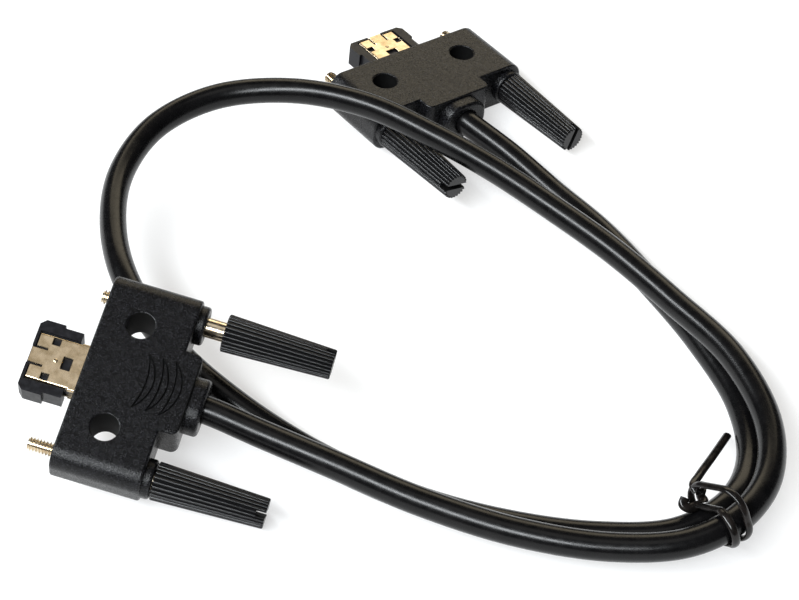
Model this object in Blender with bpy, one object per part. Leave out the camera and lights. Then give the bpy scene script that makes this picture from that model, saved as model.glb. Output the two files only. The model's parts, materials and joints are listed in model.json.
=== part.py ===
"""A short round data cable with a screw-locking plug connector on each end.

Sizes are in millimetres and become metres where a mesh is made. A connector is modelled about
its own origin, midway between its two through holes: +X points out of the plug, +Y to its left
and +Z out of the face with the crescents. An empty carries each connector to its place.
"""

import math

import bmesh
import bpy
from mathutils import Matrix, Vector

MM = 0.001

# Gaps between pieces that touch or run in each other
FIT = 0.3
FINE_FIT = 0.15

# Housing: a flat block with rounded long sides
HOUSING_FRONT = 7.9
HOUSING_LENGTH = 17.8
HOUSING_THICKNESS = 10.1
HOUSING_SIDE_RADIUS = 3.6
HOUSING_EDGE_RADIUS = 0.5
HOLE_PITCH = 22.0
HOLE_DIAMETER = 5.6

# Stepped cable relief behind the housing
SHOULDER_LENGTH = 3.6
SHOULDER_WIDTH = 17.2
SHOULDER_CORNER = 1.5
RELIEF_LENGTH = 2.9
RELIEF_WIDTH = 11.2
RELIEF_THICKNESS = 9.0
RELIEF_CORNER = 4.0
RELIEF_EDGE = 0.4

# Crescent grooves on the marked face
CRESCENT_COUNT = 3
CRESCENT_PITCH = 2.7
CRESCENT_FIRST_TIP = -3.5
CRESCENT_HALF_SPAN = 5.7
CRESCENT_OUTER_RISE = 2.5
CRESCENT_INNER_RISE = 1.1
GROOVE_WIDTH = 0.3
GROOVE_DEPTH = 0.25

# Screws, and the bosses they run in
SCREW_PITCH = 33.3
SCREW_TO_SIDE = 4.15
BOSS_DIAMETER = 7.8
BOSS_LENGTH = 1.7
BOSS_EDGE = 0.3
BOSS_WALL = 2.4
SHAFT_DIAMETER = 4.0
SHAFT_IN_KNOB = 13.7
THREAD_DIAMETER = 2.84
THREAD_TIP_CHAMFER = 0.4
SCREW_REACH = 25.1
SCREW_TRAVEL = 4.4
COLLAR_LENGTH = 0.5
CLIP_OUTER = 5.6
CLIP_NECK = 3.2
CLIP_THICKNESS = 0.8
CLIP_OPENING = 60.0

# Ribbed knobs
KNOB_STANDOFF = 0.2
KNOB_LENGTH = 22.05
KNOB_FRONT_DIAMETER = 7.6
KNOB_REAR_DIAMETER = 6.0
KNOB_RIBS = 24
KNOB_RIB_DEPTH = 0.35
KNOB_SLOT_WIDTH = 1.1
KNOB_SLOT_DEPTH = 1.9

# Plug: sheet metal shells over a plastic insulator
SHEET = 0.3
PLUG_THICKNESS = 4.6
SHELL_TIP = 17.9
SHELL_HALF_WIDTH = 4.9
SHELL_NECK_HALF_WIDTH = 5.15
SHELL_NECK_END = 9.6
TAB_TIP = 18.6
TAB_HALF_WIDTH = 1.6
SLIT_WIDTH = 0.4
SLIT_START = 15.7
SIDE_WINDOW = 1.5
SIDE_WINDOW_X = 14.5
SIDE_WINDOW_Y = 3.8
MAIN_WINDOW_LENGTH = 1.8
MAIN_WINDOW_WIDTH = 2.6
MAIN_WINDOW_X = 11.3
INSULATOR_TIP = 18.8
EAR_START = 10.1
EAR_STEP = 13.9
EAR_HALF_WIDTH = 7.6
EAR_STEP_HALF_WIDTH = 7.0
EAR_CHAMFER = 1.05
SLOT_DEPTH = 7.3
SLOT_HALF_WIDTH = 4.6
SLOT_HEIGHT = 1.5
CONTACT_COUNT = 7
CONTACT_PITCH = 1.27
CONTACT_WIDTH = 0.45
CONTACT_THICKNESS = 0.3
CONTACT_RISE = 0.1
CONTACT_TAIL = 1.8
CONTACT_TIP_SETBACK = 1.5

# What the housing holds behind the plug
INNER_MOULD_REAR = -7.6
INNER_MOULD_LENGTH = 6.4
INNER_MOULD_WIDTH = 12.4
INNER_MOULD_THICKNESS = 6.0
CABLE_START = -11.0
FERRULE_LENGTH = 4.0
FERRULE_WALL = 0.5
FERRULE_SETBACK = 0.2
WIRE_PAIR_WIDTH = 2.4
WIRE_PAIR_THICKNESS = 1.2

# Cable: where its middle runs between the two connectors, in the object's frame
CABLE_DIAMETER = 5.6
CABLE_POINT_COUNT = 78
CABLE_STRAIGHT = (2.5, 6.0)
CABLE_ROUTE = [
    (-9.3, -57.2, 9.2), (4.5, -63.3, 8.1), (21.2, -71.5, 7.6), (39.4, -77.6, 6.8),
    (57.0, -80.2, 6.4), (70.9, -79.4, 7.2), (80.4, -74.4, 8.2), (87.2, -64.3, 8.3),
    (88.8, -49.7, 8.4), (83.2, -32.8, 9.2), (72.3, -17.0, 8.8), (60.4, -3.3, 9.8),
    (48.0, 7.7, 11.4), (35.6, 17.1, 13.5), (22.6, 25.3, 15.4), (8.1, 33.4, 16.6),
    (-8.6, 38.9, 15.6), (-25.1, 37.7, 14.3), (-37.3, 28.9, 13.3), (-43.6, 13.9, 12.7),
    (-43.4, -4.7, 12.9), (-37.8, -22.7, 12.8), (-27.6, -36.3, 9.4), (-15.6, -45.5, 5.3),
    (-3.3, -53.8, 3.2), (8.9, -61.3, 2.9), (22.3, -67.8, 2.9), (37.9, -72.5, 2.9),
    (54.6, -74.9, 3.1), (69.6, -74.1, 3.9), (79.9, -67.6, 4.7), (85.4, -55.5, 3.3),
    (84.8, -39.9, 2.9), (78.1, -22.5, 2.9), (69.0, -5.8, 2.9), (59.5, 9.3, 3.1),
    (49.1, 21.2, 3.9), (39.7, 31.4, 5.5),
]

# Twisted tie round the two runs of the cable. Each of its turns slants along the runs by one
# amount at the outer run and another at the inner one, and stands off their tops by a slack.
TIE_DIAMETER = 1.3
TIE_OUTER_RUN = (79.7, -75.0, 8.2)
TIE_INNER_RUN = (76.1, -70.9, 4.5)
TIE_ALONG = (0.78, 0.62, 0.03)
TIE_TURNS = ((0.7, 0.2, 3.4), (-3.0, -0.6, 0.1))
TIE_TWIST_DIAMETER = 2.2
TIE_TWIST_FOOT = (75.0, -69.6, 8.7)
TIE_TWIST_HEAD = (72.6, -66.4, 8.8)
TIE_TAIL = [(73.0, -63.8, 8.4), (77.3, -55.7, 5.6), (81.7, -47.6, 2.0)]
TIE_STUB = [(71.1, -68.4, 8.6), (71.5, -70.4, 7.9)]

# Where the connectors lie: place, and turns about X, Y and Z in degrees. Then how far each
# screw is drawn back, and how its knob is turned.
PLACES = {
    "end_a": ((-36.31, -50.12, 14.16), (-19.03, -10.04, 168.94)),
    "end_b": ((20.04, 53.41, 6.66), (185.18, 0.52, 128.14)),
}
SCREWS = {
    "end_a": {"left": (0.0, -29.0), "right": (3.6, 34.0)},
    "end_b": {"left": (0.0, 20.0), "right": (0.0, 100.0)},
}

# Sizes and places that follow from those above
HOUSING_WIDTH = SCREW_PITCH + 2 * SCREW_TO_SIDE
HOUSING_REAR = HOUSING_FRONT - HOUSING_LENGTH
SHOULDER_REAR = HOUSING_REAR - SHOULDER_LENGTH
RELIEF_REAR = SHOULDER_REAR - RELIEF_LENGTH
BOSS_REAR = HOUSING_REAR - BOSS_LENGTH
CHAMBER_REAR = BOSS_REAR + BOSS_WALL
CHAMBER_LENGTH = SCREW_TRAVEL + CLIP_THICKNESS + FINE_FIT + COLLAR_LENGTH + 2 * FIT
CHAMBER_FRONT = CHAMBER_REAR + CHAMBER_LENGTH
CHAMBER_DIAMETER = CLIP_OUTER + 2 * FIT
KNOB_FRONT = BOSS_REAR - KNOB_STANDOFF
CLIP_REAR = CHAMBER_REAR + FIT + SCREW_TRAVEL
MOULD_FRONT = INNER_MOULD_REAR + INNER_MOULD_LENGTH
SHELL_REAR = MOULD_FRONT + FIT
CONTACT_REAR = MOULD_FRONT - CONTACT_TAIL
CONTACT_TIP = INSULATOR_TIP - CONTACT_TIP_SETBACK
CONTACT_TOP = CONTACT_RISE - SLOT_HEIGHT / 2
FERRULE_REAR = CABLE_START - FERRULE_SETBACK - FERRULE_LENGTH
FERRULE_INNER = CABLE_DIAMETER + 2 * FIT
FERRULE_OUTER = FERRULE_INNER + 2 * FERRULE_WALL

COLOURS = {
    "moulded_black": ((0.018, 0.018, 0.019), 0.62, 0.0),
    "inner_white": ((0.75, 0.74, 0.70), 0.45, 0.0),
    "insulator_black": ((0.02, 0.02, 0.02), 0.45, 0.0),
    "shell_nickel": ((0.72, 0.62, 0.50), 0.28, 1.0),
    "contact_gold": ((0.83, 0.62, 0.28), 0.25, 1.0),
    "screw_nickel": ((0.76, 0.68, 0.54), 0.22, 1.0),
    "spring_steel": ((0.55, 0.55, 0.55), 0.3, 1.0),
    "crimp_metal": ((0.6, 0.6, 0.62), 0.35, 1.0),
    "knob_black": ((0.022, 0.022, 0.024), 0.5, 0.0),
    "wire_blue": ((0.05, 0.12, 0.45), 0.5, 0.0),
    "cable_black": ((0.012, 0.012, 0.013), 0.25, 0.0),
    "tie_black": ((0.01, 0.01, 0.01), 0.3, 0.0),
}


def make_material(name):
    colour, roughness, metallic = COLOURS[name]
    material = bpy.data.materials.new(name)
    material.use_nodes = True
    shader = material.node_tree.nodes["Principled BSDF"]
    shader.inputs["Base Color"].default_value = (*colour, 1.0)
    shader.inputs["Roughness"].default_value = roughness
    shader.inputs["Metallic"].default_value = metallic
    material.diffuse_color = (*colour, 1.0)
    return material


def circle(radius, count, middle=(0.0, 0.0), start=0.0):
    """Points of a regular polygon on a circle, going from the first axis to the second."""
    step = 2 * math.pi / count
    return [
        (middle[0] + radius * math.cos(start + i * step), middle[1] + radius * math.sin(start + i * step))
        for i in range(count)
    ]


def rounded_rectangle(half_width, half_height, radius, steps):
    """A rectangle's outline with its corners as arcs of the given number of steps."""
    points = []
    for corner in range(4):
        sign_x = 1 if corner in (0, 3) else -1
        sign_y = 1 if corner in (0, 1) else -1
        middle = (sign_x * (half_width - radius), sign_y * (half_height - radius))
        for i in range(steps + 1):
            angle = math.radians(90 * (corner + i / steps))
            points.append((middle[0] + radius * math.cos(angle), middle[1] + radius * math.sin(angle)))
    return points


def loft(rings, closed=False):
    """A body through rings of equally many points, with flat ends unless it closes on itself."""
    bm = bmesh.new()
    rows = [[bm.verts.new(Vector(point) * MM) for point in ring] for ring in rings]
    pairs = list(zip(rows, rows[1:]))
    if closed:
        pairs.append((rows[-1], rows[0]))
    for first, second in pairs:
        for i in range(len(first)):
            j = (i + 1) % len(first)
            bm.faces.new((first[i], first[j], second[j], second[i]))
    if not closed:
        bm.faces.new(rows[0])
        bm.faces.new(rows[-1])
    bmesh.ops.recalc_face_normals(bm, faces=bm.faces)
    mesh = bpy.data.meshes.new("shape")
    bm.to_mesh(mesh)
    bm.free()
    return mesh


def along_x(outline, start, end):
    """An outline in Y and Z, pulled along X."""
    return loft([[(x, y, z) for y, z in outline] for x in (start, end)])


def along_z(outline, low, high):
    """An outline in X and Y, pulled along Z."""
    return loft([[(x, y, z) for x, y in outline] for z in (low, high)])


def block(x, y, z):
    """A box between two values on each axis."""
    return along_x([(y[0], z[0]), (y[1], z[0]), (y[1], z[1]), (y[0], z[1])], *x)


def turned(profile, count, middle=(0.0, 0.0)):
    """A round body along X, from (x, radius) pairs."""
    return loft([[(x, y, z) for y, z in circle(radius, count, middle)] for x, radius in profile])


def combined(mesh, operation, tools):
    """The mesh after a Boolean with each of the tools in turn, all in the same frame."""
    for tool in tools:
        target = bpy.data.objects.new("target", mesh)
        cutter = bpy.data.objects.new("cutter", tool)
        for obj in (target, cutter):
            bpy.context.scene.collection.objects.link(obj)
        cutter.hide_render = True
        cutter.display_type = "WIRE"
        modifier = target.modifiers.new("cut", "BOOLEAN")
        modifier.operation = operation
        modifier.solver = "EXACT"
        modifier.object = cutter
        graph = bpy.context.evaluated_depsgraph_get()
        mesh = bpy.data.meshes.new_from_object(target.evaluated_get(graph))
        bpy.data.objects.remove(target)
        bpy.data.objects.remove(cutter)
    return mesh


def joined(mesh, *tools):
    return combined(mesh, "UNION", tools)


def cut(mesh, *tools):
    return combined(mesh, "DIFFERENCE", tools)


def smooth(mesh, angle=35.0):
    mesh.shade_smooth()
    mesh.set_sharp_from_angle(angle=math.radians(angle))
    return mesh


def place(name, data, material, parent=None, location=(0.0, 0.0, 0.0), turn=0.0):
    """Adds an object with its material; a turn is about the object's own X axis."""
    obj = bpy.data.objects.new(name, data)
    if not data.materials:
        data.materials.append(material)
    bpy.context.scene.collection.objects.link(obj)
    obj.parent = parent
    obj.location = Vector(location) * MM
    obj.rotation_euler = (math.radians(turn), 0.0, 0.0)
    return obj


# Overmould


def housing():
    """The block, with its end edges rounded by rings that shrink towards each end."""
    steps = 3
    rings = []
    for end, inward in ((HOUSING_REAR, 1), (HOUSING_FRONT, -1)):
        some = []
        for i in range(steps + 1):
            angle = math.radians(90 * i / steps)
            shrink = HOUSING_EDGE_RADIUS * (1 - math.sin(angle))
            x = end + inward * HOUSING_EDGE_RADIUS * (1 - math.cos(angle))
            outline = rounded_rectangle(
                HOUSING_WIDTH / 2 - shrink,
                HOUSING_THICKNESS / 2 - shrink,
                HOUSING_SIDE_RADIUS - shrink,
                7,
            )
            some.append([(x, y, z) for y, z in outline])
        rings += some if inward == 1 else some[::-1]
    return loft(rings)


def shoulder():
    """The wider step of the relief, flush with the housing's two faces."""
    half = SHOULDER_WIDTH / 2
    inside = HOUSING_REAR + 2 * HOUSING_EDGE_RADIUS
    points = [(inside, half), (inside, -half)]
    for side in (-1, 1):
        middle = (SHOULDER_REAR + SHOULDER_CORNER, side * (half - SHOULDER_CORNER))
        for i in range(5):
            angle = math.radians(270 - 22.5 * i if side == -1 else 180 - 22.5 * i)
            points.append(
                (middle[0] + SHOULDER_CORNER * math.cos(angle), middle[1] + SHOULDER_CORNER * math.sin(angle))
            )
    return along_z(points, -HOUSING_THICKNESS / 2, HOUSING_THICKNESS / 2)


def relief():
    """The narrow step that grips the cable."""
    rings = []
    for x, shrink in (
        (RELIEF_REAR, RELIEF_EDGE),
        (RELIEF_REAR + RELIEF_EDGE / 3, RELIEF_EDGE / 3),
        (RELIEF_REAR + RELIEF_EDGE, 0.0),
        (SHOULDER_REAR + SHOULDER_LENGTH / 2, 0.0),
    ):
        outline = rounded_rectangle(
            RELIEF_WIDTH / 2 - shrink, RELIEF_THICKNESS / 2 - shrink, RELIEF_CORNER - shrink, 5
        )
        rings.append([(x, y, z) for y, z in outline])
    return loft(rings)


def boss(side):
    radius = BOSS_DIAMETER / 2
    profile = (
        (BOSS_REAR, radius - BOSS_EDGE),
        (BOSS_REAR + BOSS_EDGE, radius),
        (HOUSING_REAR + 3 * HOUSING_EDGE_RADIUS, radius),
    )
    return turned(profile, 28, (side * SCREW_PITCH / 2, 0.0))


def crescent_edge(tip, rise):
    """A cutter for one curved line: an arc through two tips that bulges away from the plug."""
    radius = (CRESCENT_HALF_SPAN**2 + rise**2) / (2 * rise)
    middle = tip - rise + radius
    reach = math.asin(CRESCENT_HALF_SPAN / radius)
    steps = 10
    inner = []
    outer = []
    for i in range(steps + 1):
        angle = math.pi - reach + 2 * reach * i / steps
        for row, size in ((inner, radius - GROOVE_WIDTH / 2), (outer, radius + GROOVE_WIDTH / 2)):
            row.append((middle + size * math.cos(angle), size * math.sin(angle)))
    top = HOUSING_THICKNESS / 2
    return along_z(outer + inner[::-1], top - GROOVE_DEPTH, top + GROOVE_DEPTH)


def screw_bores(side):
    """The stepped way through the housing for one screw."""
    middle = (side * SCREW_PITCH / 2, 0.0)
    rear = turned(
        ((BOSS_REAR - FIT, SHAFT_DIAMETER / 2 + FIT), (CHAMBER_REAR + FIT, SHAFT_DIAMETER / 2 + FIT)),
        20,
        middle,
    )
    chamber = turned(((CHAMBER_REAR, CHAMBER_DIAMETER / 2), (CHAMBER_FRONT, CHAMBER_DIAMETER / 2)), 20, middle)
    front = turned(
        ((CHAMBER_FRONT - FIT, THREAD_DIAMETER / 2 + FIT), (HOUSING_FRONT + FIT, THREAD_DIAMETER / 2 + FIT)),
        20,
        middle,
    )
    return rear, chamber, front


def overmould():
    mesh = joined(housing(), shoulder(), relief(), boss(1), boss(-1))
    half = HOUSING_THICKNESS / 2 + FIT
    holes = [
        along_z(circle(HOLE_DIAMETER / 2, 28, (0.0, side * HOLE_PITCH / 2)), -half, half) for side in (-1, 1)
    ]
    mould_y = INNER_MOULD_WIDTH / 2 + FIT
    mould_z = INNER_MOULD_THICKNESS / 2 + FIT
    cavity = block((INNER_MOULD_REAR - FIT, SHELL_REAR), (-mould_y, mould_y), (-mould_z, mould_z))
    plug_y = SHELL_NECK_HALF_WIDTH + FIT
    plug_z = PLUG_THICKNESS / 2 + FIT
    plug_way = block((MOULD_FRONT, HOUSING_FRONT + FIT), (-plug_y, plug_y), (-plug_z, plug_z))
    wire_y = WIRE_PAIR_WIDTH / 2 + FIT
    wire_z = WIRE_PAIR_THICKNESS + 1.5 * FIT
    wire_way = block((CABLE_START - FIT, INNER_MOULD_REAR), (-wire_y, wire_y), (-wire_z, wire_z))
    crimp_radius = FERRULE_OUTER / 2 + FIT
    crimp_way = turned(((FERRULE_REAR - FIT, crimp_radius), (CABLE_START + FIT, crimp_radius)), 24)
    mouth_radius = CABLE_DIAMETER / 2 + FIT
    mouth = turned(((RELIEF_REAR - FIT, mouth_radius), (FERRULE_REAR, mouth_radius)), 24)
    mesh = cut(mesh, *holes, cavity, plug_way, wire_way, crimp_way, mouth)
    for side in (-1, 1):
        mesh = cut(mesh, *screw_bores(side))
    for i in range(CRESCENT_COUNT):
        tip = CRESCENT_FIRST_TIP - i * CRESCENT_PITCH
        mesh = cut(mesh, crescent_edge(tip, CRESCENT_OUTER_RISE), crescent_edge(tip, CRESCENT_INNER_RISE))
    return smooth(mesh)


# Inside the housing


def contact_row():
    """The half width and the heights of the space that all the contacts take."""
    half = (CONTACT_COUNT - 1) * CONTACT_PITCH / 2 + CONTACT_WIDTH / 2
    return half, CONTACT_TOP - CONTACT_THICKNESS, CONTACT_TOP


def inner_mould():
    y = INNER_MOULD_WIDTH / 2
    z = INNER_MOULD_THICKNESS / 2
    mesh = block((INNER_MOULD_REAR, MOULD_FRONT), (-y, y), (-z, z))
    half, low, high = contact_row()
    slot = block(
        (CONTACT_REAR - FIT, MOULD_FRONT + FIT), (-half - FIT, half + FIT), (low - FINE_FIT, high + FINE_FIT)
    )
    return cut(mesh, slot)


def wire_pair():
    """Two insulated wires side by side, as one flat rod."""
    outline = rounded_rectangle(WIRE_PAIR_WIDTH / 2, WIRE_PAIR_THICKNESS / 2, WIRE_PAIR_THICKNESS / 2 - 0.05, 4)
    return smooth(along_x(outline, CABLE_START + FIT, INNER_MOULD_REAR - FIT))


def crimp_ferrule():
    profile = ((FERRULE_REAR, FERRULE_OUTER / 2), (FERRULE_REAR + FERRULE_LENGTH, FERRULE_OUTER / 2))
    bore = ((FERRULE_REAR - FIT, FERRULE_INNER / 2), (FERRULE_REAR + FERRULE_LENGTH + FIT, FERRULE_INNER / 2))
    return smooth(cut(turned(profile, 24), turned(bore, 24)))


# Plug


def shell():
    """The upper half shell: a plate with a tongue between two slits, windows and two side walls."""
    tab = TAB_HALF_WIDTH
    slit = TAB_HALF_WIDTH + SLIT_WIDTH
    neck = SHELL_NECK_HALF_WIDTH
    right = [
        (SHELL_REAR, -neck),
        (SHELL_NECK_END, -neck),
        (SHELL_NECK_END, -SHELL_HALF_WIDTH),
        (SHELL_TIP, -SHELL_HALF_WIDTH),
        (SHELL_TIP, -slit),
        (SLIT_START, -slit),
        (SLIT_START, -tab),
        (TAB_TIP, -tab),
    ]
    outline = right + [(x, -y) for x, y in reversed(right)]
    top = PLUG_THICKNESS / 2
    mesh = along_z(outline, top - SHEET, top)
    walls = [
        block(
            (SHELL_REAR, SHELL_NECK_END),
            (min(side * neck, side * (neck - SHEET)), max(side * neck, side * (neck - SHEET))),
            (FIT / 2, top - SHEET / 2),
        )
        for side in (-1, 1)
    ]
    mesh = joined(mesh, *walls)
    through = (top - 2 * SHEET, top + SHEET)
    windows = [
        block(
            (SIDE_WINDOW_X - SIDE_WINDOW / 2, SIDE_WINDOW_X + SIDE_WINDOW / 2),
            (side * SIDE_WINDOW_Y - SIDE_WINDOW / 2, side * SIDE_WINDOW_Y + SIDE_WINDOW / 2),
            through,
        )
        for side in (-1, 1)
    ]
    windows.append(
        block(
            (MAIN_WINDOW_X - MAIN_WINDOW_LENGTH / 2, MAIN_WINDOW_X + MAIN_WINDOW_LENGTH / 2),
            (-MAIN_WINDOW_WIDTH / 2, MAIN_WINDOW_WIDTH / 2),
            through,
        )
    )
    return cut(mesh, *windows)


def insulator():
    """The plastic body with its ears, the contact slot and a channel for each contact."""
    right = [
        (EAR_START, -EAR_STEP_HALF_WIDTH),
        (EAR_STEP, -EAR_STEP_HALF_WIDTH),
        (EAR_STEP, -EAR_HALF_WIDTH),
        (INSULATOR_TIP - EAR_CHAMFER, -EAR_HALF_WIDTH),
        (INSULATOR_TIP, -EAR_HALF_WIDTH + EAR_CHAMFER),
    ]
    outline = right + [(x, -y) for x, y in reversed(right)]
    half = PLUG_THICKNESS / 2
    under = half - SHEET - FIT
    tongue_y = SHELL_NECK_HALF_WIDTH - SHEET - FIT
    tongue = block((SHELL_REAR, EAR_START + FIT), (-tongue_y, tongue_y), (-under, under))
    mesh = joined(along_z(outline, -half, half), tongue)
    plate_y = SHELL_HALF_WIDTH + FIT
    tab_y = TAB_HALF_WIDTH + FIT
    slot_z = SLOT_HEIGHT / 2
    tools = [
        block(
            (INSULATOR_TIP - SLOT_DEPTH, INSULATOR_TIP + FIT),
            (-SLOT_HALF_WIDTH, SLOT_HALF_WIDTH),
            (-slot_z, slot_z),
        )
    ]
    for side in (-1, 1):
        deep = sorted((side * under, side * (half + FIT)))
        tools.append(block((EAR_START - FIT, SHELL_TIP + FIT), (-plate_y, plate_y), deep))
        tools.append(block((SHELL_TIP, INSULATOR_TIP + FIT), (-tab_y, tab_y), deep))
    for y in contact_places():
        reach = CONTACT_WIDTH / 2 + FINE_FIT
        tools.append(
            block(
                (SHELL_REAR - FIT, CONTACT_TIP + FIT),
                (y - reach, y + reach),
                (CONTACT_TOP - CONTACT_THICKNESS - FINE_FIT, CONTACT_TOP + FINE_FIT),
            )
        )
    return cut(mesh, *tools)


def contact_places():
    middle = (CONTACT_COUNT - 1) / 2
    return [(i - middle) * CONTACT_PITCH for i in range(CONTACT_COUNT)]


def contact():
    half = CONTACT_WIDTH / 2
    return block((CONTACT_REAR, CONTACT_TIP), (-half, half), (CONTACT_TOP - CONTACT_THICKNESS, CONTACT_TOP))


# Screws, knobs and clips, each about the middle of its knob's front face, screw fully forward


def screw():
    shaft = SHAFT_DIAMETER / 2
    neck = CLIP_NECK / 2
    thread = THREAD_DIAMETER / 2
    groove_start = CLIP_REAR - KNOB_FRONT - FINE_FIT
    groove_end = CLIP_REAR - KNOB_FRONT + CLIP_THICKNESS + FINE_FIT
    profile = (
        (-SHAFT_IN_KNOB, shaft),
        (groove_start, shaft),
        (groove_start, neck),
        (groove_end, neck),
        (groove_end, shaft),
        (groove_end + COLLAR_LENGTH, shaft),
        (groove_end + COLLAR_LENGTH, thread),
        (SCREW_REACH - THREAD_TIP_CHAMFER, thread),
        (SCREW_REACH, thread - THREAD_TIP_CHAMFER),
    )
    return smooth(turned(profile, 18))


def knob():
    """A tapered knob: each rib and each groove between ribs is a flat, with a bore from the front."""
    rings = []
    for x, diameter in ((-KNOB_LENGTH, KNOB_REAR_DIAMETER), (0.0, KNOB_FRONT_DIAMETER)):
        ring = []
        for i in range(4 * KNOB_RIBS):
            radius = diameter / 2 - (KNOB_RIB_DEPTH if i % 4 >= 2 else 0.0)
            angle = math.radians(360 / KNOB_RIBS * (i // 4 + (0.06, 0.5, 0.62, 0.94)[i % 4]))
            ring.append((x, radius * math.cos(angle), radius * math.sin(angle)))
        rings.append(ring)
    bore = turned(((-SHAFT_IN_KNOB - FIT, SHAFT_DIAMETER / 2 + FINE_FIT), (FIT, SHAFT_DIAMETER / 2 + FINE_FIT)), 18)
    slot = block(
        (-KNOB_LENGTH - FIT, -KNOB_LENGTH + KNOB_SLOT_DEPTH),
        (-KNOB_SLOT_WIDTH / 2, KNOB_SLOT_WIDTH / 2),
        (-KNOB_FRONT_DIAMETER, KNOB_FRONT_DIAMETER),
    )
    return smooth(cut(loft(rings), bore, slot), 20.0)


def clip():
    """An open ring that sits in the screw's neck."""
    inner = []
    outer = []
    steps = 16
    for i in range(steps + 1):
        angle = math.radians(CLIP_OPENING / 2 + (360 - CLIP_OPENING) * i / steps)
        for row, radius in ((inner, CLIP_NECK / 2 + FINE_FIT), (outer, CLIP_OUTER / 2)):
            row.append((radius * math.cos(angle), radius * math.sin(angle)))
    start = CLIP_REAR - KNOB_FRONT
    return smooth(along_x(outer + inner[::-1], start, start + CLIP_THICKNESS))


# Connectors


def build_connector(prefix, meshes, materials):
    location, turns = PLACES[prefix]
    carrier = bpy.data.objects.new(prefix, None)
    bpy.context.scene.collection.objects.link(carrier)
    carrier.location = Vector(location) * MM
    carrier.rotation_euler = [math.radians(turn) for turn in turns]

    def add(name, mesh, material, location=(0.0, 0.0, 0.0), turn=0.0):
        place(f"{prefix}_{name}", meshes[mesh], materials[material], carrier, location, turn)

    add("overmould", "overmould", "moulded_black")
    add("inner_mould", "inner_mould", "inner_white")
    add("crimp_ferrule", "crimp_ferrule", "crimp_metal")
    pair_z = (WIRE_PAIR_THICKNESS + FIT) / 2
    add("wire_pair_1", "wire_pair", "wire_blue", (0.0, 0.0, pair_z))
    add("wire_pair_2", "wire_pair", "wire_blue", (0.0, 0.0, -pair_z))
    add("shield_top", "shell", "shell_nickel")
    add("shield_bottom", "shell", "shell_nickel", turn=180.0)
    add("insulator", "insulator", "insulator_black")
    for i, y in enumerate(contact_places()):
        add(f"contact_{i + 1}", "contact", "contact_gold", (0.0, y, 0.0))
    for name, side in (("left", 1), ("right", -1)):
        back, turn = SCREWS[prefix][name]
        axis = (KNOB_FRONT - back, side * SCREW_PITCH / 2, 0.0)
        add(f"screw_{name}", "screw", "screw_nickel", axis)
        add(f"knob_{name}", "knob", "knob_black", axis, turn)
        add(f"clip_{name}", "clip", "spring_steel", axis)


# Cable and tie


def end_matrix(prefix):
    location, turns = PLACES[prefix]
    turned_by = Matrix.Identity(3)
    for turn, axis in zip(turns, "XYZ"):
        turned_by = Matrix.Rotation(math.radians(turn), 3, axis) @ turned_by
    return Matrix.Translation(location) @ turned_by.to_4x4()


def smooth_curve(points, per_span):
    """Points on a centripetal Catmull-Rom curve through the given ones."""
    points = [Vector(point) for point in points]
    padded = [2 * points[0] - points[1], *points, 2 * points[-1] - points[-2]]
    found = []
    for p0, p1, p2, p3 in zip(padded, padded[1:], padded[2:], padded[3:]):
        t1 = math.sqrt((p1 - p0).length)
        t2 = t1 + math.sqrt((p2 - p1).length)
        t3 = t2 + math.sqrt((p3 - p2).length)
        for i in range(per_span):
            t = t1 + (t2 - t1) * i / per_span
            a1 = p0.lerp(p1, t / t1)
            a2 = p1.lerp(p2, (t - t1) / (t2 - t1))
            a3 = p2.lerp(p3, (t - t2) / (t3 - t2))
            b1 = a1.lerp(a2, t / t2)
            b2 = a2.lerp(a3, (t - t1) / (t3 - t1))
            found.append(b1.lerp(b2, (t - t1) / (t2 - t1)))
    found.append(points[-1])
    return found


def evenly(points, count):
    """The given number of points, equally far apart along a path."""
    lengths = [0.0]
    for first, second in zip(points, points[1:]):
        lengths.append(lengths[-1] + (second - first).length)
    found = []
    span = 0
    for i in range(count):
        distance = lengths[-1] * i / (count - 1)
        while span < len(points) - 2 and lengths[span + 1] < distance:
            span += 1
        share = (distance - lengths[span]) / (lengths[span + 1] - lengths[span])
        found.append(points[span].lerp(points[span + 1], share))
    return found


def cable_jacket():
    curve = bpy.data.curves.new("cable_jacket", "CURVE")
    curve.dimensions = "3D"
    curve.bevel_depth = CABLE_DIAMETER / 2 * MM
    curve.bevel_resolution = 4
    curve.use_fill_caps = True
    leave = [0.0, *CABLE_STRAIGHT]
    start = [end_matrix("end_a") @ Vector((CABLE_START - step, 0.0, 0.0)) for step in leave]
    finish = [end_matrix("end_b") @ Vector((CABLE_START - step, 0.0, 0.0)) for step in leave]
    path = evenly(smooth_curve([*start, *CABLE_ROUTE, *reversed(finish)], 12), CABLE_POINT_COUNT)
    spline = curve.splines.new("POLY")
    spline.points.add(len(path) - 1)
    for point, middle in zip(spline.points, path):
        point.co = (*(middle * MM), 1.0)
    spline.use_smooth = True
    return curve


def tube(points, radius, count, closed=False):
    """A round tube along points, its rings carried along without twisting."""
    points = [Vector(point) for point in points]
    total = len(points)
    side = None
    rings = []
    for i, point in enumerate(points):
        before = points[i - 1] if i or closed else point
        after = points[(i + 1) % total] if i < total - 1 or closed else point
        along = (after - before).normalized()
        if side is None:
            side = along.orthogonal().normalized()
        side = (side - along * side.dot(along)).normalized()
        other = along.cross(side)
        rings.append([point + side * y + other * z for y, z in circle(radius, count)])
    return loft(rings, closed)


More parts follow.
